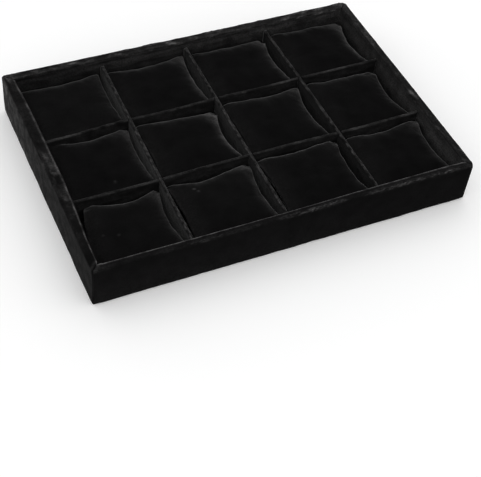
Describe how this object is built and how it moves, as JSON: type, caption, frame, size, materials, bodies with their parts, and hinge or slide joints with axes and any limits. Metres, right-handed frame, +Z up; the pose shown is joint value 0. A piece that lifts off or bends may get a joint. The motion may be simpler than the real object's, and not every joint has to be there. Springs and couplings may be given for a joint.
{
  "type": "watch display tray",
  "caption": "Shallow velvet-covered display tray with half-lapped dividers and a loose stuffed pillow in each place, for showing watches.",
  "frame": {"origin": "middle of the underside, where the tray stands", "axes": "+X along the length to the right, +Y from the front to the rear, +Z up"},
  "size_m": [0.35, 0.244, 0.042],
  "materials": {
    "board": "bare fibreboard, hidden under the cover",
    "cover_velvet": "black velvet, crinkled along the rim",
    "lining_velvet": "black velvet on card",
    "divider_velvet": "black velvet on card",
    "pillow_velvet": "soft black velvet, stuffed",
    "underside_paper": "matt black paper"
  },
  "bodies": {
    "root": {"base_board": "board", "front_board": "board", "rear_board": "board", "left_board": "board", "right_board": "board", "velvet_cover": "cover_velvet", "floor_lining": "lining_velvet", "underside_sheet": "underside_paper", "cross_divider_1": "divider_velvet", "cross_divider_2": "divider_velvet", "cross_divider_3": "divider_velvet", "long_divider_1": "divider_velvet", "long_divider_2": "divider_velvet", "pillow_1_1": "pillow_velvet", "pillow_1_2": "pillow_velvet", "pillow_1_3": "pillow_velvet", "pillow_1_4": "pillow_velvet", "pillow_2_1": "pillow_velvet", "pillow_2_2": "pillow_velvet", "pillow_2_3": "pillow_velvet", "pillow_2_4": "pillow_velvet", "pillow_3_1": "pillow_velvet", "pillow_3_2": "pillow_velvet", "pillow_3_3": "pillow_velvet", "pillow_3_4": "pillow_velvet"}
  },
  "joints": []
}
